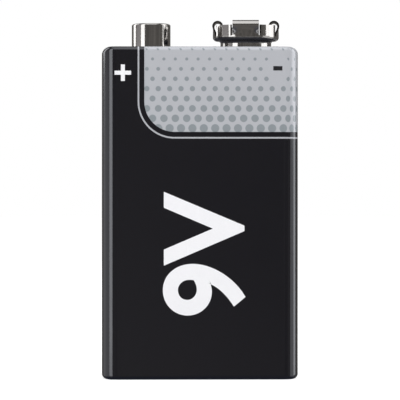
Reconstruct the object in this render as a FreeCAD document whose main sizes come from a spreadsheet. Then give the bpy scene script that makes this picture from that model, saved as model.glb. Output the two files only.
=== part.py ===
import FreeCAD, Part
import os

import Sketcher
from FreeCAD import Placement, Rotation, Vector

# A nine volt battery: six slim cells in series, packed two by three in a folded steel jacket under a
# label film, with a terminal board rolled in at the top and a plate rolled in at the bottom.
# Millimetres, +Z up, the origin under the middle of the base, the broad front facing -Y and the
# positive stud on the -X side.

doc = FreeCAD.newDocument("NineVoltBattery")

# Driving dimensions
SIZES = {
    # One slim cell
    "cell_diameter": 7.8,
    "cell_length": 39.2,
    "sleeve_wall": 0.1,
    "crimp_width": 0.6,
    "crimp_setback": 0.3,
    "nub_diameter": 3.2,
    "nub_height": 0.8,
    "seal_wall": 0.3,
    "seal_reveal": 0.1,
    "cap_sheet": 0.25,
    "cap_brim": 0.45,
    "cap_boss_height": 0.45,
    "cap_boss_slope": 0.25,
    # How the six cells are packed
    "cell_gap_x": 0.3,
    "cell_gap_y": 0.1,
    "side_gap_x": 0.25,
    "side_gap_y": 0.05,
    # Jacket and film
    "jacket_sheet": 0.3,
    "jacket_corner": 2.0,
    "jacket_seam": 0.1,
    "top_bend": 0.5,
    "bottom_bend": 0.4,
    "jacket_lip": 1.5,
    "film_sheet": 0.1,
    "film_turn": 1.1,
    "film_end": 0.02,
    # End plates and cards
    "board_thickness": 1.0,
    "bottom_plate_thickness": 1.0,
    "card_thickness": 0.3,
    "card_clearance": 0.1,
    "card_window_clearance": 0.3,
    "clinch_room": 1.1,
    # Strips that carry the current
    "strip_thickness": 0.15,
    "strip_width": 3.0,
    "strip_overhang": 1.5,
    "strip_bend": 0.15,
    "lead_clearance": 0.45,
    # Snap terminals
    "terminal_spacing": 12.7,
    "terminal_sheet": 0.25,
    "tail_diameter": 3.0,
    "clinch_diameter": 4.6,
    "rivet_head_gap": 0.65,
    "rivet_head_round": 0.15,
    "stud_diameter": 5.18,
    "stud_height": 3.75,
    "stud_rim": 0.25,
    "socket_wall_diameter": 8.84,
    "socket_flange_width": 1.02,
    "socket_neck_height": 1.43,
    "socket_wall_height": 3.5,
    "socket_height": 4.12,
    "socket_bend": 0.45,
    "socket_neck_bend": 0.4,
    "petal_proud": 0.06,
    "petal_width": 3.5,
    "petal_slit": 0.23,
    "petal_curl": 0.72,
    "petal_curl_angle": 200,
    "petal_tilt": 4,
    "socket_turn": 2.8,
}

sheet = doc.addObject("Spreadsheet::Sheet", "Sizes")
for row, (alias, value) in enumerate(SIZES.items(), start=1):
    sheet.set(f"A{row}", alias)
    sheet.set(f"B{row}", str(value))
    sheet.setAlias(f"B{row}", alias)

# Sizes that follow from the driving ones: how wide and deep the packed cells make the case, and how
# high each piece of the stack sits.
FOLLOWING = {
    "sleeved": "Sizes.cell_diameter + 2 * Sizes.sleeve_wall",
    "pitch_x": "Following.sleeved + Sizes.cell_gap_x",
    "pitch_y": "Following.sleeved + Sizes.cell_gap_y",
    "room_x": "3 * Following.sleeved + 2 * Sizes.cell_gap_x + 2 * Sizes.side_gap_x",
    "room_y": "2 * Following.sleeved + Sizes.cell_gap_y + 2 * Sizes.side_gap_y",
    "jacket_x": "Following.room_x + 2 * Sizes.jacket_sheet",
    "jacket_y": "Following.room_y + 2 * Sizes.jacket_sheet",
    "plate_z": "Sizes.jacket_sheet",
    "lower_card_z": "Following.plate_z + Sizes.bottom_plate_thickness",
    "lower_strip_z": "Following.lower_card_z + Sizes.card_thickness",
    "cells_z": "Following.lower_strip_z + Sizes.strip_thickness",
    "upper_strip_z": "Following.cells_z + Sizes.cell_length",
    "upper_card_z": "Following.upper_strip_z + Sizes.strip_thickness",
    "board_z": "Following.upper_card_z + Sizes.card_thickness + Sizes.clinch_room",
    "deck_z": "Following.board_z + Sizes.board_thickness",
    "jacket_top": "Following.deck_z + Sizes.jacket_sheet",
    "clinch_z": "Following.board_z - Sizes.strip_thickness",
    "lead_run_x": "Following.pitch_x - Sizes.terminal_spacing / 2",
    "lead_run_y": "Following.pitch_y / 2",
    "lead_run": "sqrt(Following.lead_run_x ^ 2 + Following.lead_run_y ^ 2)",
    "lead_riser": "Following.lead_run - Sizes.clinch_diameter / 2 - Sizes.lead_clearance",
    "cap_radius": "Sizes.cell_diameter / 2 - Sizes.crimp_width - Sizes.seal_wall",
    "seal_floor": "Sizes.cap_boss_height + Sizes.cap_sheet",
    "flange_z": "Following.deck_z + Sizes.socket_neck_height",
    "curl_z": "Following.deck_z + Sizes.socket_height - Sizes.petal_curl",
    "petal_root": "Following.flange_z + Sizes.socket_bend",
}
following = doc.addObject("App::VarSet", "Following")
for name in FOLLOWING:
    following.addProperty("App::PropertyFloat", name)
for name, rule in FOLLOWING.items():
    following.setExpression(name, rule)
doc.recompute()


def new_body(name):
    """A body whose label is also the name of its node."""
    body = doc.addObject("PartDesign::Body", name)
    body.Label = name
    return body


def origin_item(body, role):
    """One of the body's own origin planes or axes."""
    return next(item for item in body.Origin.OriginFeatures if item.Role == role)


def place(body, x="0", y="0", z="0", axis=Vector(0, 0, 1), angle="0"):
    """Put a body where the rules say, turned about an axis through its own origin."""
    body.Placement = Placement(Vector(), Rotation(axis, 1))
    body.setExpression("Placement.Rotation.Angle", angle)
    for letter, rule in (("x", x), ("y", y), ("z", z)):
        body.setExpression(f"Placement.Base.{letter}", rule)


def sketch_on(body, name, role, height=None):
    """An empty sketch on one of the body's origin planes, lifted by a rule."""
    sketch = body.newObject("Sketcher::SketchObject", name)
    sketch.AttachmentSupport = [(origin_item(body, role), "")]
    sketch.MapMode = "FlatFace"
    if height:
        sketch.setExpression("AttachmentOffset.Base.z", height)
    return sketch


def arc_middle(start, end, radius):
    """The middle of the short arc from start to end, which turns left if the radius is positive."""
    chord = end - start
    left = Vector(-chord.y, chord.x, 0).normalize() * (1 if radius > 0 else -1)
    rise = max(radius ** 2 - (chord.Length / 2) ** 2, 0) ** 0.5
    return (start + end) / 2 + left * (rise - abs(radius))


def tie(sketch, constraint, name, rule):
    """Add a constraint and tie its value to a rule."""
    number = sketch.addConstraint(constraint)
    sketch.renameConstraint(number, name)
    sketch.setExpression(f"Constraints.{name}", rule)


def hold(sketch, number, end, point, rules):
    """Tie one point of a sketch to its x and y rules."""
    for kind, value, axis, rule in (
        ("DistanceX", point.x, -2, rules[0]),
        ("DistanceY", point.y, -1, rules[1]),
    ):
        if abs(value) < 1e-9:
            sketch.addConstraint(Sketcher.Constraint("PointOnObject", number, end, axis))
        else:
            held = Sketcher.Constraint(kind, -1, 1, number, end, value)
            tie(sketch, held, f"{kind}_{number}", rule)


def profile(sketch, steps):
    """A closed outline. A step is a corner's x and y rules, and a third rule, where it has one, is
    the radius of the arc that leads on from there: positive turns left."""
    points = [Vector(sketch.evalExpression(s[0]), sketch.evalExpression(s[1]), 0) for s in steps]
    ends = []
    for i, step in enumerate(steps):
        start, end = points[i], points[(i + 1) % len(points)]
        if len(step) == 3:
            middle = arc_middle(start, end, sketch.evalExpression(step[2]))
            sketch.addGeometry(Part.Arc(start, middle, end))
        else:
            sketch.addGeometry(Part.LineSegment(start, end))
        forward = (sketch.getPoint(i, 1) - start).Length < 1e-6
        ends.append((1, 2) if forward else (2, 1))
    for i in range(len(steps)):
        after = (i + 1) % len(steps)
        sketch.addConstraint(Sketcher.Constraint("Coincident", i, ends[i][1], after, ends[after][0]))
    for i, step in enumerate(steps):
        hold(sketch, i, ends[i][0], points[i], step)
        if len(step) == 3:
            radius = abs(sketch.evalExpression(step[2]))
            tie(sketch, Sketcher.Constraint("Radius", i, radius), f"Arc_{i}", f"abs({step[2]})")


def rectangle(sketch, low_x, low_y, high_x, high_y):
    profile(sketch, [(low_x, low_y), (high_x, low_y), (high_x, high_y), (low_x, high_y)])


def rounded_rectangle(sketch, size_x, size_y, corner):
    """A rectangle about the origin with round corners."""
    x, y = f"({size_x}) / 2", f"({size_y}) / 2"
    inner_x, inner_y = f"({x} - ({corner}))", f"({y} - ({corner}))"
    profile(sketch, [
        (f"-{inner_x}", f"-{y}"), (inner_x, f"-{y}", corner),
        (x, f"-{inner_y}"), (x, inner_y, corner),
        (inner_x, y), (f"-{inner_x}", y, corner),
        (f"-{x}", inner_y), (f"-{x}", f"-{inner_y}", corner),
    ])


def circle(sketch, x, y, radius):
    """A circle whose centre and radius follow rules."""
    centre = Vector(sketch.evalExpression(x), sketch.evalExpression(y), 0)
    size = sketch.evalExpression(radius)
    number = sketch.addGeometry(Part.Circle(centre, Vector(0, 0, 1), size))
    hold(sketch, number, 3, centre, (x, y))
    tie(sketch, Sketcher.Constraint("Radius", number, size), f"Round_{number}", radius)


def pad(body, name, sketch, length, both_ways=False):
    feature = body.newObject("PartDesign::Pad", name)
    feature.Profile = sketch
    feature.SideType = "Symmetric" if both_ways else "One side"
    feature.setExpression("Length", length)
    doc.recompute()
    return feature


def pocket(body, name, sketch, length):
    """Cut upwards from a level sketch, and make sure that something was cut."""
    before = body.Shape.Volume
    feature = body.newObject("PartDesign::Pocket", name)
    feature.Profile = sketch
    feature.Reversed = True
    feature.setExpression("Length", length)
    doc.recompute()
    if body.Shape.Volume > before - 1e-6:
        raise RuntimeError(f"{body.Label}: {name} cuts nothing")
    return feature


def turn(body, name, sketch):
    """A solid turned about the body's vertical axis."""
    feature = body.newObject("PartDesign::Revolution", name)
    feature.Profile = sketch
    feature.ReferenceAxis = (sketch, ["V_Axis"])
    feature.Angle = 360
    doc.recompute()
    return feature


def fillet(body, name, radius, test):
    """Round the edges of the body so far that pass a test."""
    names = [f"Edge{i}" for i, edge in enumerate(body.Shape.Edges, start=1) if test(edge)]
    if not names:
        raise RuntimeError(f"{body.Label}: {name} finds no edges")
    base = body.Tip
    feature = body.newObject("PartDesign::Fillet", name)
    feature.Base = (base, names)
    feature.setExpression("Radius", radius)
    doc.recompute()
    return feature


def around(body, name, features):
    """Repeat features at each quarter turn about the body's vertical axis."""
    pattern = body.newObject("PartDesign::PolarPattern", name)
    pattern.Originals = features
    pattern.Axis = (origin_item(body, "Z_Axis"), [""])
    pattern.Angle = 360
    pattern.Occurrences = 4
    body.Tip = pattern
    doc.recompute()
    return pattern


def at_height(rule, clear_x="0", clear_y="0"):
    """A test for the level edges at a height, outside a rectangle about the middle."""
    height, half_x, half_y = (sheet.evalExpression(r) for r in (rule, clear_x, clear_y))

    def test(edge):
        box = edge.BoundBox
        middle = edge.valueAt((edge.FirstParameter + edge.LastParameter) / 2)
        outside = abs(middle.x) > half_x + 1e-4 or abs(middle.y) > half_y + 1e-4
        return box.ZLength < 1e-6 and abs(box.ZMin - height) < 1e-5 and outside

    return test


def ring_at(radius_rule, height_rule):
    """A test for the circle of one radius at one height about the body's axis."""
    radius, height = sheet.evalExpression(radius_rule), sheet.evalExpression(height_rule)

    def test(edge):
        box = edge.BoundBox
        level = box.ZLength < 1e-6 and abs(box.ZMin - height) < 1e-5
        return level and abs(box.XMax - radius) < 1e-3

    return test


def wrap(name, size_x, size_y, corner, wall, low, high, top_bend, bottom_bend, lip):
    """A sheet wrapped round the case: rounded walls, with its top and bottom edges bent inwards and a
    window left in each end. The sizes are those of its outer face."""
    body = new_body(name)
    height = f"({high}) - ({low})"
    outside = sketch_on(body, "outside", "XY_Plane", low)
    rounded_rectangle(outside, size_x, size_y, corner)
    pad(body, "block", outside, height)
    window_x, window_y = f"({size_x}) - 2 * {lip}", f"({size_y}) - 2 * {lip}"
    window = sketch_on(body, "window", "XY_Plane", low)
    rounded_rectangle(window, window_x, window_y, f"({corner}) - {lip}")
    pocket(body, "windows", window, height)
    floor, ceiling = f"({low}) + {wall}", f"({high}) - {wall}"
    inner_x, inner_y = f"({size_x}) - 2 * {wall}", f"({size_y}) - 2 * {wall}"
    inside = sketch_on(body, "inside", "XY_Plane", floor)
    rounded_rectangle(inside, inner_x, inner_y, f"({corner}) - {wall}")
    pocket(body, "hollow", inside, f"({ceiling}) - ({floor})")
    clear = (f"({window_x}) / 2", f"({window_y}) / 2")
    fillet(body, "top_inner_bend", f"({top_bend}) - {wall}", at_height(ceiling, *clear))
    fillet(body, "bottom_inner_bend", f"({bottom_bend}) - {wall}", at_height(floor, *clear))
    fillet(body, "top_bend", top_bend, at_height(high, *clear))
    fillet(body, "bottom_bend", bottom_bend, at_height(low, *clear))
    return body


# The jacket: one steel sheet folded round the cells, butted at the back, rolled in at both ends.
jacket = wrap(
    "jacket", "Following.jacket_x", "Following.jacket_y", "Sizes.jacket_corner", "Sizes.jacket_sheet",
    "0", "Following.jacket_top", "Sizes.top_bend", "Sizes.bottom_bend", "Sizes.jacket_lip",
)
seam = sketch_on(jacket, "seam_line", "XY_Plane")
rectangle(
    seam, "-Sizes.jacket_seam / 2", "Following.jacket_y / 2 - Sizes.jacket_lip",
    "Sizes.jacket_seam / 2", "Following.jacket_y / 2",
)
pocket(jacket, "seam", seam, "Following.jacket_top")

# The label film: wrapped over the jacket, turned over its top edge and just under its bottom one.
film_low = "-Sizes.film_sheet"
label_film = wrap(
    "label_film", "Following.jacket_x + 2 * Sizes.film_sheet",
    "Following.jacket_y + 2 * Sizes.film_sheet", "Sizes.jacket_corner + Sizes.film_sheet",
    "Sizes.film_sheet", film_low, "Following.jacket_top + Sizes.film_sheet",
    "Sizes.top_bend + Sizes.film_sheet", "Sizes.bottom_bend + Sizes.film_sheet", "Sizes.film_turn",
)
trim = sketch_on(label_film, "trim_line", "XY_Plane", film_low)
rectangle(trim, *(f"{sign}Following.jacket_{axis}" for sign in ("-", "") for axis in "xy"))
pocket(label_film, "trim", trim, "Sizes.film_sheet + Sizes.film_end")


def plate(name, clearance, corner, low, thickness, holes=()):
    """A flat plate inside the jacket, with round holes at (x, y, radius)."""
    body = new_body(name)
    outline = sketch_on(body, "outline", "XY_Plane", low)
    sizes = (f"Following.room_{axis} - 2 * ({clearance})" for axis in "xy")
    rounded_rectangle(outline, *sizes, corner)
    pad(body, "sheet", outline, thickness)
    for number, hole in enumerate(holes, start=1):
        hole_line = sketch_on(body, f"hole_line_{number}", "XY_Plane", low)
        circle(hole_line, *hole)
        pocket(body, f"hole_{number}", hole_line, thickness)
    return body


# The terminal board closes the top under the jacket's lip and carries both terminals.
terminal_x = "Sizes.terminal_spacing / 2"
tail_radius = "Sizes.tail_diameter / 2"
plate(
    "top_board", "Sizes.top_bend - Sizes.jacket_sheet", "Sizes.jacket_corner - Sizes.top_bend",
    "Following.board_z", "Sizes.board_thickness",
    [(f"-{terminal_x}", "0", tail_radius), (terminal_x, "0", tail_radius)],
)

# The bottom plate closes the other end.
plate(
    "bottom_plate", "Sizes.bottom_bend - Sizes.jacket_sheet", "Sizes.jacket_corner - Sizes.bottom_bend",
    "Following.plate_z", "Sizes.bottom_plate_thickness",
)

# Where the cells stand, in three columns and two rows.
COLUMNS = {"left": "-Following.pitch_x", "middle": "0", "right": "Following.pitch_x"}
ROWS = {"front": "-Following.pitch_y / 2", "back": "Following.pitch_y / 2"}

# The cards keep the strips off both plates. The top one has a window for each lead.
card_corner = "Sizes.jacket_corner - Sizes.jacket_sheet - Sizes.card_clearance"
window_radius = (
    "sqrt(Following.lead_riser ^ 2 + (Sizes.strip_width / 2) ^ 2) + Sizes.card_window_clearance"
)
plate(
    "top_card", "Sizes.card_clearance", card_corner, "Following.upper_card_z", "Sizes.card_thickness",
    [
        (COLUMNS["left"], ROWS["front"], window_radius),
        (COLUMNS["right"], ROWS["back"], window_radius),
    ],
)
plate("bottom_card", "Sizes.card_clearance", card_corner, "Following.lower_card_z", "Sizes.card_thickness")


def turned_piece(name, steps, rounds=()):
    """A body turned from a profile of radius and height, with rings rounded at (radius, height, by)."""
    body = new_body(name)
    section = sketch_on(body, "section", "XZ_Plane")
    profile(section, steps)
    turn(body, "turned", section)
    for number, (radius, height, by) in enumerate(rounds, start=1):
        fillet(body, f"round_{number}", by, ring_at(radius, height))
    return body


# The cells: three columns of two, alternately positive end up and down, so that short strips join
# them in series from the positive stud round to the negative socket.
CELLS = {
    "cell_1": ("left", "front", "up"),
    "cell_2": ("left", "back", "down"),
    "cell_3": ("middle", "back", "up"),
    "cell_4": ("middle", "front", "down"),
    "cell_5": ("right", "front", "up"),
    "cell_6": ("right", "back", "down"),
}
can_radius = "Sizes.cell_diameter / 2"
mouth_radius = "(Sizes.cell_diameter / 2 - Sizes.crimp_width)"
shoulder_z = "(Sizes.cell_length - Sizes.nub_height)"
seal_top = "(Following.seal_floor + Sizes.seal_wall)"

# The sealed can with its filling, crimped in round the seal and with a nub at the positive end.
can_steps = [
    ("0", seal_top),
    (mouth_radius, seal_top),
    (mouth_radius, "Sizes.crimp_setback", "Sizes.crimp_width"),
    (can_radius, "Sizes.crimp_setback + Sizes.crimp_width"),
    (can_radius, f"{shoulder_z} - Sizes.crimp_width", "Sizes.crimp_width"),
    (mouth_radius, shoulder_z),
    ("Sizes.nub_diameter / 2", shoulder_z),
    ("Sizes.nub_diameter / 2", "Sizes.cell_length"),
    ("0", "Sizes.cell_length"),
]
# The nylon seal: a shallow dish between the can's mouth and the end cap.
seal_steps = [
    ("0", "Following.seal_floor"),
    ("Following.cap_radius", "Following.seal_floor"),
    ("Following.cap_radius", "Sizes.crimp_setback - Sizes.seal_reveal"),
    (mouth_radius, "Sizes.crimp_setback - Sizes.seal_reveal"),
    (mouth_radius, seal_top),
    ("0", seal_top),
]
# The end cap: a pressed hat whose brim sits in the seal.
boss_radius = "Following.cap_radius - Sizes.cap_brim - Sizes.cap_boss_slope"
cap_steps = [
    ("0", "0"),
    (boss_radius, "0"),
    (f"{boss_radius} + Sizes.cap_boss_slope", "Sizes.cap_boss_height"),
    ("Following.cap_radius", "Sizes.cap_boss_height"),
    ("Following.cap_radius", "Following.seal_floor"),
    (f"{boss_radius} + Sizes.cap_boss_slope - Sizes.cap_sheet", "Following.seal_floor"),
    (f"{boss_radius} - Sizes.cap_sheet", "Sizes.cap_sheet"),
    ("0", "Sizes.cap_sheet"),
]
# The sleeve: a plastic tube shrunk on to the can's straight wall.
sleeve_radius = "Following.sleeved / 2"
sleeve_low = "Sizes.crimp_setback + Sizes.crimp_width"
sleeve_high = f"{shoulder_z} - Sizes.crimp_width"
sleeve_steps = [
    (can_radius, sleeve_low),
    (sleeve_radius, sleeve_low),
    (sleeve_radius, sleeve_high),
    (can_radius, sleeve_high),
]
CELL_PIECES = {"can": can_steps, "seal": seal_steps, "end_cap": cap_steps, "sleeve": sleeve_steps}
for cell, (column, row, positive_end) in CELLS.items():
    foot, angle = ("cells_z", "0") if positive_end == "up" else ("upper_strip_z", "180")
    for piece, steps in CELL_PIECES.items():
        body = turned_piece(f"{cell}_{piece}", steps)
        place(body, COLUMNS[column], ROWS[row], f"Following.{foot}", Vector(1, 0, 0), angle)


# The links: nickel strips welded to one cell's negative end and the next one's positive end, which
# are both at the bottom where the first cell's positive end is up.
overhang, half_strip = "Sizes.strip_overhang", "Sizes.strip_width / 2"
for first, second in zip(list(CELLS), list(CELLS)[1:]):
    (column_a, row_a, positive_end), (column_b, row_b, _) = CELLS[first], CELLS[second]
    level = "lower_strip_z" if positive_end == "up" else "upper_strip_z"
    link = new_body(first.replace("cell", "link") + second.removeprefix("cell"))
    outline = sketch_on(link, "outline", "XY_Plane", f"Following.{level}")
    low_x, high_x = sorted((COLUMNS[column_a], COLUMNS[column_b]), key=sheet.evalExpression)
    low_y, high_y = sorted((ROWS[row_a], ROWS[row_b]), key=sheet.evalExpression)
    along_x = column_a != column_b
    past_x, past_y = (overhang, half_strip) if along_x else (half_strip, overhang)
    rectangle(
        outline, f"{low_x} - {past_x}", f"{low_y} - {past_y}",
        f"{high_x} + {past_x}", f"{high_y} + {past_y}",
    )
    pad(link, "strip", outline, "Sizes.strip_thickness")


def lead(name, x, y, angle):
    """A strip from the top of a corner cell, bent up through the card, to an eye on a terminal's tail."""
    body = new_body(name)
    side = sketch_on(body, "side", "XZ_Plane")
    low, high = "Following.upper_strip_z", "Following.clinch_z"
    low_top, high_top = "Following.upper_card_z", "Following.board_z"
    inner, outer = "Sizes.strip_bend", "(Sizes.strip_bend + Sizes.strip_thickness)"
    riser_out = "Following.lead_riser"
    riser_in = "(Following.lead_riser - Sizes.strip_thickness)"
    profile(side, [
        (f"-{overhang}", low),
        (f"{riser_out} - {outer}", low, outer),
        (riser_out, f"{low} + {outer}"),
        (riser_out, f"{high} - {inner}", f"-{inner}"),
        (f"{riser_out} + {inner}", high),
        ("Following.lead_run", high),
        ("Following.lead_run", high_top),
        (f"{riser_in} + {outer}", high_top, outer),
        (riser_in, f"{high_top} - {outer}"),
        (riser_in, f"{low_top} + {inner}", f"-{inner}"),
        (f"{riser_in} - {inner}", low_top),
        (f"-{overhang}", low_top),
    ])
    pad(body, "strip", side, "Sizes.strip_width", both_ways=True)
    eye = sketch_on(body, "eye_line", "XY_Plane", high)
    circle(eye, "Following.lead_run", "0", "Sizes.clinch_diameter / 2")
    pad(body, "eye", eye, "Sizes.strip_thickness")
    hole = sketch_on(body, "hole_line", "XY_Plane", high)
    circle(hole, "Following.lead_run", "0", tail_radius)
    pocket(body, "hole", hole, "Sizes.strip_thickness")
    place(body, x, y, angle=angle)
    return body


run_angle = "atan2(Following.lead_run_y; Following.lead_run_x)"
lead("positive_lead", COLUMNS["left"], ROWS["front"], run_angle)
lead("negative_lead", COLUMNS["right"], ROWS["back"], f"{run_angle} + 180 deg")

# Heights and radii that both terminals share.
deck = "Following.deck_z"
sheet_metal = "Sizes.terminal_sheet"
tail_bore = f"({tail_radius} - {sheet_metal})"
clinch_radius = "Sizes.clinch_diameter / 2"
clinch_top = "Following.clinch_z"
clinch_low = f"({clinch_top} - {sheet_metal})"

# The positive stud: a drawn cap whose narrow hollow tail is clinched under the lead's eye.
stud_radius = "Sizes.stud_diameter / 2"
stud_top = f"({deck} + Sizes.stud_height)"
stud = turned_piece(
    "positive_stud",
    [
        ("0", stud_top),
        ("0", f"{stud_top} - {sheet_metal}"),
        (f"{stud_radius} - {sheet_metal}", f"{stud_top} - {sheet_metal}"),
        (f"{stud_radius} - {sheet_metal}", f"{deck} + {sheet_metal}"),
        (tail_bore, f"{deck} + {sheet_metal}"),
        (tail_bore, clinch_low),
        (clinch_radius, clinch_low),
        (clinch_radius, clinch_top),
        (tail_radius, clinch_top),
        (tail_radius, deck),
        (stud_radius, deck),
        (stud_radius, stud_top),
    ],
    [(stud_radius, stud_top, "Sizes.stud_rim")],
)
place(stud, f"-{terminal_x}")

# Radii that the negative socket shares with its rivet.
wall = "Sizes.socket_wall_diameter / 2"
neck = f"({wall} - Sizes.socket_flange_width)"
outer_bend = "Sizes.socket_bend"
inner_bend = f"({outer_bend} - {sheet_metal})"

# The rivet that holds the negative socket's cup down on the board.
head_low = f"({deck} + {sheet_metal})"
head_top = f"({head_low} + {sheet_metal})"
head_radius = f"{neck} - {sheet_metal} - {inner_bend} - Sizes.rivet_head_gap"
rivet = turned_piece(
    "negative_rivet",
    [
        (tail_bore, head_top),
        (tail_bore, clinch_low),
        (clinch_radius, clinch_low),
        (clinch_radius, clinch_top),
        (tail_radius, clinch_top),
        (tail_radius, head_low),
        (head_radius, head_low),
        (head_radius, head_top),
    ],
    [(head_radius, head_top, "Sizes.rivet_head_round")],
)
place(rivet, terminal_x)

# The negative socket: a drawn cup with a flange, and on it a wall cut into four segments, with a flat
# spring petal between each two, bent up from the flange and curled inwards and down at its top, so
# that the stud rides on the curls. It sits turned a little on the board.
wall_top = f"({deck} + Sizes.socket_wall_height)"
flange_low = "Following.flange_z"
flange_top = f"({flange_low} + {sheet_metal})"
neck_bend = "Sizes.socket_neck_bend"
socket = turned_piece(
    "negative_socket",
    [
        (tail_radius, deck),
        (neck, deck),
        (neck, flange_low),
        (wall, flange_low),
        (wall, wall_top),
        (f"{wall} - {sheet_metal}", wall_top),
        (f"{wall} - {sheet_metal}", flange_top),
        (f"{neck} - {sheet_metal}", flange_top),
        (f"{neck} - {sheet_metal}", f"{deck} + {sheet_metal}"),
        (tail_radius, f"{deck} + {sheet_metal}"),
    ],
    [
        (neck, deck, outer_bend),
        (f"{neck} - {sheet_metal}", f"{deck} + {sheet_metal}", inner_bend),
        (neck, flange_low, neck_bend),
        (f"{neck} - {sheet_metal}", flange_top, f"{neck_bend} + {sheet_metal}"),
        (wall, flange_low, outer_bend),
        (f"{wall} - {sheet_metal}", flange_top, inner_bend),
    ],
)
petal_root = "Following.petal_root"
slot_line = sketch_on(socket, "slot_line", "XY_Plane", petal_root)
half_slot = "(Sizes.petal_width / 2 + Sizes.petal_slit)"
rectangle(slot_line, neck, f"-{half_slot}", wall, half_slot)
slot = pocket(socket, "slot", slot_line, f"{wall_top} - {petal_root}")
around(socket, "slots", [slot])

# A petal's side view: the straight stretch leans outwards and runs smoothly into the bend at its root
# and the curl at its top, both given by their centres.
curl = "Sizes.petal_curl"
inner_curl = f"({curl} - {sheet_metal})"
curl_x = f"({wall} + Sizes.petal_proud - {curl})"
curl_z = "Following.curl_z"
sweep, tilt = "Sizes.petal_curl_angle", "Sizes.petal_tilt"
root_x = (
    f"({curl_x} + ({curl} - {outer_bend}) / cos({tilt}) - ({curl_z} - {petal_root}) * tan({tilt}))"
)
petal_line = sketch_on(socket, "petal_line", "XZ_Plane")
profile(petal_line, [
    (neck, flange_low),
    (root_x, flange_low, outer_bend),
    (f"{root_x} + {outer_bend} * cos({tilt})", f"{petal_root} - {outer_bend} * sin({tilt})"),
    (f"{curl_x} + {curl} * cos({tilt})", f"{curl_z} - {curl} * sin({tilt})", curl),
    (curl_x, f"{curl_z} + {curl}", curl),
    (f"{curl_x} + {curl} * cos({sweep})", f"{curl_z} + {curl} * sin({sweep})"),
    (
        f"{curl_x} + {inner_curl} * cos({sweep})", f"{curl_z} + {inner_curl} * sin({sweep})",
        f"-{inner_curl}",
    ),
    (curl_x, f"{curl_z} + {inner_curl}", f"-{inner_curl}"),
    (f"{curl_x} + {inner_curl} * cos({tilt})", f"{curl_z} - {inner_curl} * sin({tilt})"),
    (
        f"{root_x} + {inner_bend} * cos({tilt})", f"{petal_root} - {inner_bend} * sin({tilt})",
        f"-{inner_bend}",
    ),
    (root_x, flange_top),
    (neck, flange_top),
])
petal = pad(socket, "petal", petal_line, "Sizes.petal_width", both_ways=True)
around(socket, "petals", [petal])
place(socket, terminal_x, angle="-Sizes.socket_turn")


# Check every object, then write one file for each piece.
doc.recompute()
for item in doc.Objects:
    if {"Invalid", "Error"} & set(item.State):
        raise RuntimeError(f"{item.Label} failed: {item.State}")
bodies = [item for item in doc.Objects if item.TypeId == "PartDesign::Body"]
for body in bodies:
    if body.Shape.isNull() or not body.Shape.isValid() or len(body.Shape.Solids) != 1:
        raise RuntimeError(f"{body.Label} is not one sound solid")
os.makedirs("parts", exist_ok=True)
for body in bodies:
    body.Shape.exportStep(f"parts/{body.Label}.step")
    print(f"{body.Label}: {body.Shape.Volume:.2f} cubic millimetres")
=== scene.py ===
from math import cos, pi, radians, sin, tan

import bmesh
import bpy
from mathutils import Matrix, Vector


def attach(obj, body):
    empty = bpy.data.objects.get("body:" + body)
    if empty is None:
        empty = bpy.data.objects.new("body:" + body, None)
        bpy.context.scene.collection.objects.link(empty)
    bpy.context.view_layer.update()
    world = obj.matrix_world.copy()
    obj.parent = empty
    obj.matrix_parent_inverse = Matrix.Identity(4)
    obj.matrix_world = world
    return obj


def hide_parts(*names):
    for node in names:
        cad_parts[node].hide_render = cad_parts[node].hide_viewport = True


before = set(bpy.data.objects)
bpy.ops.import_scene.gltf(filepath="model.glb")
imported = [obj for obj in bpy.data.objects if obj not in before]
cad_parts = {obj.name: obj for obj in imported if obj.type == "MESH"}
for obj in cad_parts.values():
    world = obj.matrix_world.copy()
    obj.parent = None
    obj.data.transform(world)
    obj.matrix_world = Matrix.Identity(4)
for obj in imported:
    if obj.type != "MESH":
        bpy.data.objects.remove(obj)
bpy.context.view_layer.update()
bpy.context.scene.view_settings.view_transform = "Standard"


# Six slim cells in two rows of three, each a deep-drawn steel can, nickel-plated, crimped in over a
# nylon seal and a pressed end cap, with a printed plastic sleeve shrunk round it. They stay CAD
# nodes: the drawing leaves fine lines along a can, the shrinking faint wrinkles round its sleeve.
def put(tree, kind, inputs=None, **settings):
    """Adds a shader node; each input gets a plain value or a link from another node's output."""
    made = tree.nodes.new("ShaderNode" + kind)
    for key, value in settings.items():
        setattr(made, key, value)
    for key, value in (inputs or {}).items():
        if isinstance(value, bpy.types.NodeSocket):
            tree.links.new(value, made.inputs[key])
        else:
            made.inputs[key].default_value = value
    return made


def remap(tree, value, low, high, to_low=0.0, to_high=1.0):
    """Maps a value from one range to another and holds it there."""
    numbers = {0: value, 1: low, 2: high, 3: to_low, 4: to_high}
    return put(tree, "MapRange", numbers).outputs[0]


def blend(tree, share, first, second):
    """Mixes two colours; a share of 0 gives the first."""
    return put(tree, "Mix", {0: share, 6: first, 7: second}, data_type="RGBA").outputs[2]


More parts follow.
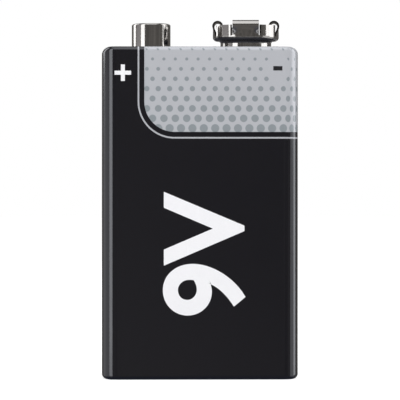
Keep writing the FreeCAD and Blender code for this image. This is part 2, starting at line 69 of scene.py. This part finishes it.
def make_grain():
    """Fine streaks or specks over a broad mottle, in two colours and two roughnesses."""
    tree = bpy.data.node_groups.new("surface_grain", "ShaderNodeTree")
    sockets = {
        "INPUT": {"Place": "Vector", "Per Metre": "Vector", "Pale": "Color", "Dark": "Color",
                  "Smooth": "Float", "Rough": "Float", "Mottle": "Float"},
        "OUTPUT": {"Color": "Color", "Roughness": "Float", "Height": "Float"},
    }
    for way, titles in sockets.items():
        for title, kind in titles.items():
            tree.interface.new_socket(title, in_out=way, socket_type="NodeSocket" + kind)
    given = tree.nodes.new("NodeGroupInput").outputs
    result = tree.nodes.new("NodeGroupOutput").inputs
    fine_place = put(
        tree, "VectorMath", {0: given["Place"], 1: given["Per Metre"]}, operation="MULTIPLY"
    )
    fine = put(tree, "TexNoise", {"Vector": fine_place.outputs[0], "Scale": 1.0, "Detail": 3.0})
    broad = put(tree, "TexNoise", {"Vector": given["Place"], "Scale": 260.0, "Detail": 2.0})
    mixed = put(tree, "Mix", {0: given["Mottle"], 2: fine.outputs[0], 3: broad.outputs[0]})
    share = remap(tree, mixed.outputs[0], 0.32, 0.68)
    rough = remap(tree, share, 0.0, 1.0, given["Rough"], given["Smooth"])
    tree.links.new(blend(tree, share, given["Dark"], given["Pale"]), result["Color"])
    tree.links.new(rough, result["Roughness"])
    tree.links.new(share, result["Height"])
    return tree


surface_grain = make_grain()


def new_surface(name):
    """A new material with its tree, its shader and the Object coordinates."""
    material = bpy.data.materials.new(name)
    material.use_nodes = True
    tree = material.node_tree
    place = put(tree, "TexCoord").outputs["Object"]
    return material, tree, tree.nodes["Principled BSDF"], place


def add_grain(tree, place, shader, bump, depth, **values):
    """Gives a shader the grain's roughness and relief, its depth in mm; returns its colour."""
    grain = tree.nodes.new("ShaderNodeGroup")
    grain.node_tree = surface_grain
    tree.links.new(place, grain.inputs["Place"])
    for socket, value in values.items():
        grain.inputs[socket.replace("_", " ").title()].default_value = value
    height = grain.outputs["Height"]
    relief = put(tree, "Bump", {"Strength": bump, "Distance": depth / 1000, "Height": height})
    tree.links.new(grain.outputs["Roughness"], shader.inputs["Roughness"])
    tree.links.new(relief.outputs[0], shader.inputs["Normal"])
    return grain.outputs["Color"]


def grained(
    name, pale, dark, per_mm, smooth, rough, mottle=0.4, bump=0.2, depth=0.01, metallic=0.0
):
    """A material with surface grain: colours, grains a millimetre, roughness range and relief."""
    material, tree, shader, place = new_surface(name)
    colour = add_grain(
        tree, place, shader, bump, depth,
        pale=(*pale, 1), dark=(*dark, 1), per_metre=[1000 * count for count in per_mm],
        smooth=smooth, rough=rough, mottle=mottle,
    )
    tree.links.new(colour, shader.inputs["Base Color"])
    shader.inputs["Metallic"].default_value = metallic
    return material


def dress(material, *names):
    """Gives CAD nodes their material."""
    for name in names:
        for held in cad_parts[name].material_slots:
            held.material = material


drawn_steel = grained(
    "drawn_steel", (0.64, 0.63, 0.61), (0.5, 0.49, 0.475), (9, 9, 0.5), 0.24, 0.4, metallic=1.0
)
nylon = grained("nylon", (0.78, 0.76, 0.7), (0.68, 0.66, 0.6), (3, 3, 3), 0.38, 0.5)
shrunk_sleeve = grained(
    "shrunk_sleeve", (0.13, 0.215, 0.34), (0.1, 0.175, 0.29), (0.6, 0.6, 5), 0.28, 0.42, bump=0.35
)
for cell in range(1, 7):
    dress(drawn_steel, f"cell_{cell}_can", f"cell_{cell}_end_cap")
    dress(nylon, f"cell_{cell}_seal")
    dress(shrunk_sleeve, f"cell_{cell}_sleeve")


# Nickel strip, slit and cut to length, welded from cell to cell and up to the terminals' tails. It
# keeps the rolling lines of the coil that it was cut from.
rolled_strip = grained(
    "rolled_strip", (0.7, 0.67, 0.62), (0.56, 0.535, 0.49), (1.2, 14, 1.2), 0.25, 0.42,
    metallic=1.0,
)
dress(rolled_strip, "positive_lead", "negative_lead", *[f"link_{n}_{n + 1}" for n in range(1, 6)])


# The insulating cards above and below the cells, punched from grey-brown pressboard with loose
# fibres in its face, and the moulded plate that closes the bottom, with a fine spark-eroded
# texture.
pressboard = grained(
    "pressboard", (0.6, 0.52, 0.4), (0.47, 0.39, 0.29), (6, 1.5, 6), 0.75, 0.92,
    bump=0.5, depth=0.03,
)
moulded_plate = grained(
    "moulded_plate", (0.034, 0.034, 0.036), (0.02, 0.02, 0.022), (9, 9, 9), 0.5, 0.68, bump=0.4
)
dress(pressboard, "top_card", "bottom_card")
dress(moulded_plate, "bottom_plate")


# The terminal board, punched from black vulcanised fibre. It closes the top, held by the jacket's
# rolled-in edge, and carries both terminals.
fibre_board = grained(
    "fibre_board", (0.028, 0.031, 0.045), (0.013, 0.0145, 0.022), (10, 2.5, 10), 0.6, 0.82,
    bump=0.5, depth=0.02,
)
dress(fibre_board, "top_board")


# The positive stud: a cap drawn from nickel-plated steel, with a narrow hollow tail that goes
# through the board and is clinched under the lead. It is spun on its axis here, from one outline.
mm = 0.001
terminal_x = 6.35
deck, clinch_top, clinch_low = 43.5, 42.35, 42.1
tail_radius, tail_bore, clinch_radius = 1.5, 1.25, 2.3


def draw(outline):
    """Draws an outline of (radius, height, bend radius) as edges, each corner with its bend."""
    bpy.ops.object.select_all(action="DESELECT")
    bpy.ops.mesh.primitive_plane_add(size=mm)
    bpy.ops.object.mode_set(mode="EDIT")
    bpy.ops.mesh.select_mode(type="VERT")
    bpy.ops.mesh.select_all(action="SELECT")
    bpy.ops.mesh.merge(type="CENTER")
    bpy.ops.transform.translate(value=Vector((outline[0][0], 0, outline[0][1])) * mm)
    for (x0, z0, _), (x1, z1, _) in zip(outline, outline[1:]):
        step = Vector((x1 - x0, 0, z1 - z0)) * mm
        bpy.ops.mesh.extrude_region_move(TRANSFORM_OT_translate={"value": step})
    for before, (x, z, bend), after in zip(outline, outline[1:], outline[2:]):
        if not bend:
            continue
        into = Vector((x - before[0], z - before[1]))
        out = Vector((after[0] - x, after[1] - z))
        bpy.ops.mesh.select_all(action="DESELECT")
        mesh = bmesh.from_edit_mesh(bpy.context.object.data)
        corner = Vector((x, 0, z)) * mm
        min(mesh.verts, key=lambda vert: (vert.co - corner).length).select_set(True)
        bmesh.update_edit_mesh(bpy.context.object.data)
        bpy.ops.mesh.bevel(
            offset=bend * tan(into.angle(out) / 2) * mm, segments=max(2, round(bend * 10)) + 2,
            affect="VERTICES", clamp_overlap=False,
        )


def close_mesh():
    """Merges the vertices that meet and makes the faces agree on their outside."""
    bpy.ops.mesh.select_all(action="SELECT")
    bpy.ops.mesh.remove_doubles(threshold=0.002 * mm)
    bpy.ops.mesh.normals_make_consistent(inside=False)


def spin_round(x):
    """Spins what was drawn once round, closes its seam and moves it to a terminal's axis."""
    bpy.ops.mesh.select_all(action="SELECT")
    bpy.ops.mesh.spin(steps=96, angle=2 * pi, center=(0, 0, 0), axis=(0, 0, 1))
    close_mesh()
    bpy.ops.transform.translate(value=(x * mm, 0, 0))


def keep(name, material, slot, *nodes, angle=35):
    """Ends a piece's editing: its name, finish and smooth faces, and the CAD nodes it replaces."""
    bpy.ops.object.mode_set(mode="OBJECT")
    piece = bpy.context.object
    piece.name = piece.data.name = name
    if not piece.data.materials:
        piece.data.materials.append(material)
    bpy.ops.object.shade_smooth_by_angle(angle=radians(angle))
    flats = piece.modifiers.new("flats", "WEIGHTED_NORMAL")
    flats.keep_sharp = True
    bpy.ops.object.modifier_apply(modifier="flats")
    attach(piece, "root")
    if nodes:
        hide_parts(*nodes)


nickel_plate = grained(
    "nickel_plate", (0.7, 0.685, 0.67), (0.6, 0.588, 0.575), (2, 2, 5), 0.07, 0.14,
    mottle=0.6, bump=0.03, depth=0.004, metallic=1.0,
)
stud_radius, stud_top, stud_sheet = 2.59, 47.25, 0.25
draw([
    (0, stud_top, 0),
    (stud_radius, stud_top, 0.25),
    (stud_radius, deck, 0.06),
    (tail_radius, deck, 0),
    (tail_radius, clinch_top, 0),
    (clinch_radius, clinch_top, 0.1),
    (clinch_radius, clinch_low, 0.1),
    (tail_bore, clinch_low, 0.15),
    (tail_bore, deck + stud_sheet, 0.15),
    (stud_radius - stud_sheet, deck + stud_sheet, 0.05),
    (stud_radius - stud_sheet, stud_top - stud_sheet, 0.1),
    (0, stud_top - stud_sheet, 0),
])
spin_round(-terminal_x)
keep("positive_stud_drawn", nickel_plate, "nickel", "positive_stud")


# The rivet inside the negative socket: a hollow eyelet of plated steel whose flat head holds the
# socket's floor on the board, and whose end is clinched under the lead's eye.
head_radius, head_low, head_top, head_round = 2.3, deck + 0.25, deck + 0.5, 0.12
draw([
    (tail_bore, head_top, 0),
    (tail_bore, clinch_low, 0),
    (clinch_radius, clinch_low, 0.1),
    (clinch_radius, clinch_top, 0.1),
    (tail_radius, clinch_top, 0),
    (tail_radius, head_low, 0),
    (head_radius, head_low, 0),
    (head_radius, head_top, head_round),
    (tail_bore + head_round, head_top, 0),
    (tail_bore, head_top, 0),
])
spin_round(terminal_x)
keep("negative_rivet_clinched", nickel_plate, "nickel", "negative_rivet")


# The negative socket: one piece of nickel-plated spring steel, drawn to a cup with a flange and a
# wall and slit eight times down to the flange. Its four flat petals are rolled over, so that a stud
# snaps in behind them; the four segments between them stay round.
wall_radius, wall_top, neck_radius, flange_low = 4.42, 47.0, 3.4, 44.93
root_bend, neck_bend, past_bend, socket_sheet = 0.5, 0.35, 0.03, 0.25
slit_low, half_petal, edge_round = 45.58, 1.75, 0.1
# Seven of the 96 steps of the spun wall, so that a slit's edge lies on one of its lines.
half_slot = wall_radius * sin(radians(7 * 360 / 96))
petal_x, petal_tilt, curl, curl_x, curl_z, curl_end = 4.4, 6.7, 0.72, 3.76, 46.9, 200
# A petal's foot goes from the wall's curve to flat in these steps, each so high.
flattening, flat_step = (0.93, 0.78, 0.62, 0.4, 0.0), 0.19
foot_top = slit_low + len(flattening) * flat_step
lean, socket_turn = radians(petal_tilt), 2.8


def edit_select(kind, test):
    """Selects the faces, edges or vertices of the mesh in edit mode that pass a test."""
    bpy.ops.mesh.select_all(action="DESELECT")
    bpy.ops.mesh.select_mode(type=kind)
    mesh = bmesh.from_edit_mesh(bpy.context.object.data)
    for item in {"FACE": mesh.faces, "EDGE": mesh.edges, "VERT": mesh.verts}[kind]:
        item.select_set(bool(test(item)))
    mesh.select_flush_mode()
    bmesh.update_edit_mesh(bpy.context.object.data)


def middle(item):
    """The middle of a face or an edge, in millimetres."""
    return sum((vert.co for vert in item.verts), Vector()) / len(item.verts) / mm


def climb(edge):
    """How high an edge climbs, in millimetres."""
    return abs((edge.verts[0].co - edge.verts[1].co).z) / mm


def facing(item, way):
    """Whether a face or an edge lies on the side of the socket where a petal stands."""
    return middle(item).dot(way) > 1


def aside(item, across):
    """How far a face or an edge lies beside a petal's middle line, in millimetres."""
    return abs(middle(item).dot(across))


def cut(point, normal, **settings):
    """Cuts the selected faces along a plane through a point, given in millimetres."""
    bpy.ops.mesh.bisect(
        plane_co=Vector(point) * mm, plane_no=normal, threshold=0.001 * mm, **settings
    )


def face_outwards(low, high):
    """Turns all faces over if those between two heights look at the piece's axis."""
    mesh = bmesh.from_edit_mesh(bpy.context.object.data)
    faces = [face for face in mesh.faces if low < middle(face).z < high]
    bpy.ops.mesh.select_all(action="SELECT")
    if sum(face.normal.xy.dot(face.calc_center_median().xy) for face in faces) < 0:
        bpy.ops.mesh.flip_normals()


def thicken(thickness, rounding=0.0, finishes=()):
    """Gives a sheet its thickness inwards, the last finish on its cut edges, and rounds them."""
    bpy.ops.object.mode_set(mode="OBJECT")
    sheet = bpy.context.object
    for finish in finishes:
        sheet.data.materials.append(finish)
    wall = sheet.modifiers.new("wall", "SOLIDIFY")
    wall.thickness, wall.offset, wall.use_even_offset = thickness * mm, -1, True
    wall.material_offset_rim = max(0, len(finishes) - 1)
    bpy.ops.object.modifier_apply(modifier="wall")
    if rounding:
        edges = sheet.modifiers.new("edges", "BEVEL")
        edges.width, edges.segments = rounding * mm, 2
        edges.limit_method, edges.angle_limit = "ANGLE", radians(50)
        bpy.ops.object.modifier_apply(modifier="edges")


draw([
    (tail_radius, deck, 0),
    (neck_radius, deck, root_bend),
    (neck_radius, deck + root_bend + past_bend, 0),
    (neck_radius, flange_low - neck_bend - past_bend, 0),
    (neck_radius, flange_low, neck_bend),
    (wall_radius, flange_low, root_bend),
    (wall_radius, slit_low, 0),
    (wall_radius, wall_top, 0),
])
spin_round(0)
up = Vector((0, 0, 1))
for side in range(4):
    way = Vector((cos(side * pi / 2), sin(side * pi / 2), 0))
    across = Vector((-way.y, way.x, 0))
    for edge_y in (-half_slot, -half_petal, half_petal, half_slot):
        edit_select("FACE", lambda face: middle(face).z > slit_low and facing(face, way))
        cut(across * edge_y, across)
    edit_select(
        "FACE",
        lambda face: middle(face).z > slit_low and facing(face, way)
        and aside(face, across) < half_slot,
    )
    bpy.ops.mesh.delete(type="FACE")
    edit_select(
        "EDGE",
        lambda edge: edge.is_boundary and abs(middle(edge).z - slit_low) < 0.01
        and facing(edge, way) and aside(edge, across) < half_petal,
    )
    for flattened in flattening:
        bpy.ops.mesh.extrude_region_move(TRANSFORM_OT_translate={"value": up * flat_step * mm})
        bpy.ops.transform.resize(
            value=[flattened if abs(part) > 0.5 else 1 for part in way],
            center_override=way * petal_x * mm,
        )
    inwards, rise = curl_x + curl * cos(lean) - petal_x, curl_z - curl * sin(lean) - foot_top
    bpy.ops.mesh.extrude_region_move(
        TRANSFORM_OT_translate={"value": (way * inwards + up * rise) * mm}
    )
    bpy.ops.mesh.spin(
        steps=24, angle=lean + radians(curl_end), axis=across,
        center=(way * curl_x + up * curl_z) * mm,
    )
close_mesh()
face_outwards(slit_low, curl_z)
# Run without a window, this operator counts its angle the other way round.
bpy.ops.transform.rotate(
    value=radians(socket_turn), orient_axis="Z", center_override=(0, 0, 0)
)
bpy.ops.transform.translate(value=(terminal_x * mm, 0, 0))
# The sheared edges of the sheet: raw steel without its plating, duller than the plate, and painted
# much darker than bare steel as painted shade, standing in for the dark reflection that these thin
# edges show.
raw_edge_painted_dark = grained(
    "raw_edge_painted_dark", (0.16, 0.152, 0.145), (0.1, 0.096, 0.09), (20, 20, 20), 0.34, 0.5, metallic=1.0
)
thicken(socket_sheet, finishes=(nickel_plate, raw_edge_painted_dark))
bpy.ops.object.mode_set(mode="EDIT")
# The upright outer edges where the slits end the wall's segments: they lie on the wall's outside
# and turn by a right angle.
terminal_axis = Vector((terminal_x, 0, 0))
edit_select(
    "EDGE",
    lambda edge: climb(edge) > 1.2 and slit_low < middle(edge).z < wall_top
    and (middle(edge) - terminal_axis).xy.length > wall_radius - 0.02
    and edge.calc_face_angle(0) > 1,
)
# Their rounding takes the darkened edge finish, whose darkness is partly painted shade.
bpy.ops.mesh.bevel(
    offset=edge_round * mm, segments=3, affect="EDGES", material=1, clamp_overlap=False
)
bpy.ops.mesh.region_to_loop()
bpy.ops.mesh.mark_sharp()
keep("negative_socket_sprung", nickel_plate, "nickel", "negative_socket")


# The jacket: tin-plated steel strip folded into a sleeve whose ends butt at the back, with its top
# and bottom edges rolled in over the board and the plate.
end_start, end_length, top_drop, bottom_rise = 11.75, 1.2, 0.35, 0.22
jacket_sheet, seam_width, back_y = 0.3, 0.1, 5


def at_level(item, level):
    """Whether all of a face or an edge lies at one height, given in millimetres."""
    return all(abs(vert.co.z / mm - level) < 0.001 for vert in item.verts)


def on_back(face):
    """Whether a face belongs to the back of the case."""
    return middle(face).y > back_y


def folded_case(width, depth, height, corner, top, bottom):
    """A box with round corners, whose top and bottom edges turn in, each by its (bend, lip).

    From end_start outwards the edges sink in a curve, as the sheet is drawn in more there."""
    bpy.ops.object.select_all(action="DESELECT")
    bpy.ops.mesh.primitive_cube_add(
        size=mm, location=(0, 0, height / 2 * mm), scale=(width, depth, height)
    )
    bpy.ops.object.transform_apply(location=True, rotation=True, scale=True)
    bpy.ops.object.mode_set(mode="EDIT")
    edit_select("EDGE", lambda edge: climb(edge) > 1)
    bpy.ops.mesh.bevel(offset=corner * mm, segments=16, affect="EDGES")
    for level, (bend, lip) in ((height, top), (0, bottom)):
        edit_select("FACE", lambda face: at_level(face, level))
        bpy.ops.mesh.inset(thickness=lip * mm, use_even_offset=True)
        bpy.ops.mesh.delete(type="FACE")
        edit_select(
            "EDGE",
            lambda edge: at_level(edge, level) and not edge.is_boundary
            and any(abs(face.normal.z) < 0.5 for face in edge.link_faces),
        )
        bpy.ops.mesh.bevel(offset=bend * mm, segments=9, affect="EDGES")
    close_mesh()
    for vert in bmesh.from_edit_mesh(bpy.context.object.data).verts:
        end = max(0.0, (abs(vert.co.x) / mm - end_start) / end_length)
        in_top = vert.co.z > height * mm / 2
        vert.co.z += (-top_drop if in_top else bottom_rise) * mm * end ** 2
    face_outwards(0, height)


tin_plate = grained(
    "tin_plate", (0.66, 0.66, 0.67), (0.54, 0.54, 0.55), (1.5, 1.5, 12), 0.2, 0.36, metallic=1.0
)
folded_case(25.7, 16.8, 43.8, 2.0, top=(0.5, 1.5), bottom=(0.4, 1.5))
for seam_x in (-seam_width / 2, seam_width / 2):
    edit_select("FACE", on_back)
    cut((seam_x, 0, 0), (1, 0, 0))
edit_select("FACE", lambda face: on_back(face) and abs(middle(face).x) < seam_width / 2)
bpy.ops.mesh.delete(type="FACE")
thicken(jacket_sheet, rounding=0.04)
keep("jacket_folded", tin_plate, "tinned_steel", "jacket")


# The label: black plastic film wrapped round the jacket, overlapped at the back and shrunk over its
# top and bottom edges. It is printed before wrapping: a silver-grey field with a half-tone of dots
# and a thin line round it.
film_sheet, film_end, film_front = 0.1, 0.02, -8.5
# Field, line and dots in millimetres; a higher edge value makes the edge of the print sharper.
field_low, field_left, field_corner, field_edge = 32.6, -7.4, 4.0, 20.0
line_away, line_half, line_edge = 0.75, 0.125, 3.0
dot_pitch, row_share, dots_start, dots_top = 1.5, 0.866, 47.05, 43.5
small_dot, large_dot, dot_edge = 0.13, 0.4, 18.0
minus_x, minus_z, minus_clear = 10.2, 41.0, 1.75
overlap_x, groove_left, groove_right, groove_depth = -9.5, 0.08, 0.25, 0.05
groove_low, groove_high = 0.45, 43.35


def make_film():
    """Glossy film: the black ground, the printed field with its dots and line, and fine relief."""
    material, tree, shader, place = new_surface("printed_film")
    in_mm = put(tree, "VectorMath", {0: place, 1: (1000, 1000, 1000)}, operation="MULTIPLY")
    axes = put(tree, "SeparateXYZ", {0: in_mm.outputs[0]}).outputs

    def calc(operation, a, b=0.0, clamp=False):
        """One step of arithmetic; clamp holds its result between 0 and 1."""
        made = put(tree, "Math", {0: a, 1: b}, operation=operation, use_clamp=clamp)
        return made.outputs[0]

    def length(x, y):
        """The length of what goes x aside and y up."""
        return calc("SQRT", calc("ADD", calc("MULTIPLY", x, x), calc("MULTIPLY", y, y)))

    left = calc("MAXIMUM", calc("SUBTRACT", field_left + field_corner, axes["X"]), 0.0)
    below = calc("MAXIMUM", calc("SUBTRACT", field_low + field_corner, axes["Z"]), 0.0)
    outside = calc("SUBTRACT", length(left, below), field_corner)
    field = calc("MULTIPLY", outside, -field_edge, clamp=True)
    from_line = calc("ABSOLUTE", calc("SUBTRACT", outside, line_away))
    line = calc("SUBTRACT", 1.0, calc("MULTIPLY", from_line, 1 / line_half), clamp=True)
    line = calc("MULTIPLY", line, line_edge, clamp=True)

    # The dots stand in staggered rows that go on round the case's corners, and they grow downwards.
    row = calc("DIVIDE", axes["Z"], dot_pitch * row_share)
    shift = calc("MULTIPLY", calc("MODULO", calc("FLOOR", row), 2.0), 0.5)
    along = calc("SUBTRACT", calc("ADD", axes["X"], dots_start), calc("ABSOLUTE", axes["Y"]))
    column = calc("ADD", calc("DIVIDE", along, dot_pitch), shift)
    off_x = calc("SUBTRACT", calc("FRACT", column), 0.5)
    off_z = calc("MULTIPLY", calc("SUBTRACT", calc("FRACT", row), 0.5), row_share)
    dot_radius = remap(tree, axes["Z"], dots_top, field_low, small_dot, large_dot)
    inside = calc("SUBTRACT", dot_radius, length(off_x, off_z))
    dots = calc("MULTIPLY", inside, dot_edge, clamp=True)
    from_minus = put(
        tree, "VectorMath", {0: in_mm.outputs[0], 1: (minus_x, film_front, minus_z)},
        operation="DISTANCE",
    )
    clear = calc("GREATER_THAN", from_minus.outputs["Value"], minus_clear)
    dots = calc("MULTIPLY", dots, clear)

    printed = blend(tree, dots, (0.46, 0.466, 0.488, 1), (0.262, 0.288, 0.302, 1))
    ground = blend(tree, line, (0.0028, 0.0024, 0.005, 1), (0.45, 0.455, 0.475, 1))
    tree.links.new(blend(tree, field, ground, printed), shader.inputs["Base Color"])
    add_grain(
        tree, place, shader, 0.12, 0.01,
        per_metre=(1500, 1500, 1500), smooth=0.1, rough=0.16, mottle=0.7,
    )
    for socket, value in {
        "Specular IOR Level": 1.0,
        "Specular Tint": (0.9, 0.93, 1.0, 1),
        "Coat Weight": 0.9,
        "Coat Roughness": 0.08,
        "Coat Tint": (0.97, 0.98, 1.0, 1),
    }.items():
        shader.inputs[socket].default_value = value
    return material


printed_film = make_film()
folded_case(25.9, 17.0, 43.9, 2.1, top=(0.6, 1.1), bottom=(0.5, 0.6))
bpy.ops.mesh.select_all(action="SELECT")
cut((0, 0, film_end), (0, 0, 1), clear_inner=True)
for seam_x in (overlap_x - groove_left, overlap_x, overlap_x + groove_right):
    edit_select("FACE", on_back)
    cut((seam_x, 0, 0), (1, 0, 0))
edit_select(
    "VERT",
    lambda vert: vert.co.y > back_y * mm and abs(vert.co.x / mm - overlap_x) < 0.01
    and groove_low < vert.co.z / mm < groove_high,
)
bpy.ops.transform.translate(value=(0, -groove_depth * mm, 0))
thicken(film_sheet)
keep("label_film_printed", printed_film, "film", "label_film")


# The print on the film's front, in white ink: the voltage, which reads upwards, and a plain mark
# for each pole under its terminal. Each is a thin layer that lies on the film.
ink = 0.008


def print_mark(name, text, size, x, z, turned, material):
    """Flat type, set as a mesh on the film's front with the thickness of the ink."""
    bpy.ops.object.select_all(action="DESELECT")
    bpy.ops.object.text_add(rotation=(pi / 2, 0, 0))
    mark = bpy.context.object
    mark.data.body, mark.data.size, mark.data.extrude = text, size * mm, ink * mm
    mark.data.align_x = mark.data.align_y = "CENTER"
    mark.data.offset, mark.data.resolution_u = 0.022 * size * mm, 24
    bpy.ops.object.convert(target="MESH")
    bpy.ops.object.transform_apply(location=True, rotation=True, scale=True)
    bpy.ops.object.origin_set(type="ORIGIN_GEOMETRY", center="BOUNDS")
    mark.location = (0, 0, 0)
    mark.rotation_euler = (0, radians(-turned), 0)
    bpy.ops.object.transform_apply(location=True, rotation=True, scale=True)
    mark.location = (x * mm, film_front * mm, z * mm)
    bpy.ops.object.transform_apply(location=True, rotation=True, scale=True)
    bpy.ops.object.mode_set(mode="EDIT")
    bpy.ops.mesh.select_all(action="SELECT")
    bpy.ops.mesh.remove_doubles(threshold=0.001 * mm)
    keep(name, material, "film", angle=30)


white_ink = grained(
    "white_ink", (0.84, 0.84, 0.865), (0.8, 0.8, 0.825), (4, 4, 4), 0.25, 0.34, bump=0.05
)
black_ink = grained(
    "black_ink", (0.02, 0.02, 0.023), (0.014, 0.014, 0.017), (4, 4, 4), 0.25, 0.34, bump=0.05
)
print_mark("print_voltage", "9V", 14.5, 0.5, 16.6, 90, white_ink)
print_mark("print_plus", "+", 4.2, -10.2, 40.4, 0, white_ink)
print_mark("print_minus", "-", 4.2, minus_x, minus_z, 0, black_ink)


# The floor and the studio: a pale floor, a white background, softboxes on both sides and above, and
# a dark tent that only reflections see, open at the back. The camera stands level with the middle
# of the battery.
def plain_material(name):
    """A new material without nodes, and its tree."""
    material = bpy.data.materials.new(name)
    material.use_nodes = True
    material.node_tree.nodes.clear()
    return material, material.node_tree


def seen_directly(tree):
    """1 for camera, glossy and transmission rays, 0 for the rays that light the object."""
    rays = put(tree, "LightPath").outputs
    seen = put(
        tree, "Math", {0: rays["Is Camera Ray"], 1: rays["Is Glossy Ray"]}, operation="MAXIMUM"
    )
    through = {0: seen.outputs[0], 1: rays["Is Transmission Ray"]}
    return put(tree, "Math", through, operation="MAXIMUM").outputs[0]


floor_material, tree = plain_material("studio_floor")
diffuse = put(tree, "BsdfDiffuse", {"Color": (0.6, 0.6, 0.6, 1)})
glow = put(tree, "Emission", {"Color": (0.62, 0.62, 0.62, 1), "Strength": seen_directly(tree)})
both = put(tree, "AddShader", {0: diffuse.outputs[0], 1: glow.outputs[0]})
tree.links.new(both.outputs[0], tree.nodes.new("ShaderNodeOutputMaterial").inputs[0])
bpy.ops.object.select_all(action="DESELECT")
bpy.ops.mesh.primitive_plane_add(size=8)
floor = bpy.context.object
floor.name = "floor"
floor.data.materials.append(floor_material)
floor.visible_glossy = False

world = bpy.data.worlds.new("studio")
bpy.context.scene.world = world
world.use_nodes = True
tree = world.node_tree
tree.nodes.clear()
level = remap(tree, seen_directly(tree), 0.0, 1.0, 0.74, 1.0)
sky = put(tree, "Background", {"Color": (1, 1, 1, 1), "Strength": level})
tree.links.new(sky.outputs[0], tree.nodes.new("ShaderNodeOutputWorld").inputs[0])

tent_material, tree = plain_material("dark_tent")
place = put(tree, "TexCoord").outputs["Object"]
folds = put(tree, "TexNoise", {"Vector": place, "Scale": 3.5, "Detail": 1.0}).outputs[0]
shade = remap(tree, folds, 0.3, 0.7, 0.08, 0.15)
above = remap(tree, put(tree, "SeparateXYZ", {0: place}).outputs["Z"], -0.9, -0.3)
cloth = blend(tree, above, (0.6, 0.68, 0.92, 1), (1, 0.95, 0.9, 1))
dim = put(tree, "Emission", {"Color": cloth, "Strength": shade})
tree.links.new(dim.outputs[0], tree.nodes.new("ShaderNodeOutputMaterial").inputs[0])
bpy.ops.mesh.primitive_uv_sphere_add(segments=48, ring_count=24, radius=1.5)
bpy.ops.object.mode_set(mode="EDIT")
opening_y, opening_half, opening_low, opening_high = 1000, 600, 250, 700
edit_select(
    "FACE",
    lambda face: middle(face).y > opening_y and abs(middle(face).x) < opening_half
    and opening_low < middle(face).z < opening_high,
)
bpy.ops.mesh.delete(type="FACE")
bpy.ops.object.mode_set(mode="OBJECT")
tent = bpy.context.object
tent.name = "dark_tent"
tent.data.materials.append(tent_material)
tent.visible_camera = tent.visible_diffuse = tent.visible_shadow = False


def softbox(name, azimuth, elevation, width, height, distance, radiance, aim_z, tint=(1, 1, 1)):
    """A rectangular lamp that faces the battery's axis at a height, all in metres.

    Its azimuth counts from the camera's side to the right, in degrees like its elevation."""
    lamp = bpy.data.lights.new(name, "AREA")
    lamp.shape, lamp.size, lamp.size_y = "RECTANGLE", width, height
    lamp.energy, lamp.color = radiance * pi * width * height, tint
    box = bpy.data.objects.new(name, lamp)
    bpy.context.scene.collection.objects.link(box)
    a, e = radians(azimuth), radians(elevation)
    out = Vector((sin(a) * cos(e), -cos(a) * cos(e), sin(e)))
    box.location = Vector((0, 0, aim_z)) + out * distance
    box.rotation_euler = out.to_track_quat("Z", "Y").to_euler()
    box.visible_camera = False
    return box


softbox("softbox_left", -52.5, 0, 0.34, 0.95, 0.8, 1.5, 0.425)
softbox("softbox_left_low", -52.5, 0, 0.34, 0.45, 0.8, 0.2, -0.275)
softbox("softbox_left_back", -117.5, 0, 0.29, 0.9, 0.8, 2.0, 0.525)
softbox("fill_left", -84, 0, 0.5, 0.9, 0.85, 0.17, 0.525, tint=(0.98, 0.94, 1))
softbox("fill_left_low", -97, 0, 1.0, 0.375, 0.85, 0.36, -0.1125)
softbox("softbox_right", 100.5, 0, 0.285, 0.95, 0.8, 1.5, 0.425)
softbox("softbox_right_low", 100.5, 0, 0.285, 0.45, 0.8, 0.2, -0.275)
softbox("softbox_right_high", 82, 0, 0.28, 0.9, 0.85, 1.5, 0.51)
softbox("fill_right_low", 76, 0, 0.5, 0.36, 0.85, 0.45, -0.12)
softbox("softbox_top", 0, 70, 0.8, 1.05, 0.8, 0.85, 0.03)
front_fill = softbox("front_fill", 0, 20, 0.8, 0.8, 1.0, 1.35, 0.03)
front_fill.visible_glossy = False

lens = bpy.data.cameras.new("camera")
lens.sensor_width, lens.lens = 36, 302
camera = bpy.data.objects.new("camera", lens)
bpy.context.scene.collection.objects.link(camera)
eye_level = 23.66
camera.location = Vector((-13.2, -449.8, eye_level)) * mm
aim = Vector((0.2, 0, eye_level)) * mm
camera.rotation_euler = (aim - camera.location).to_track_quat("-Z", "Y").to_euler()
bpy.context.scene.camera = camera
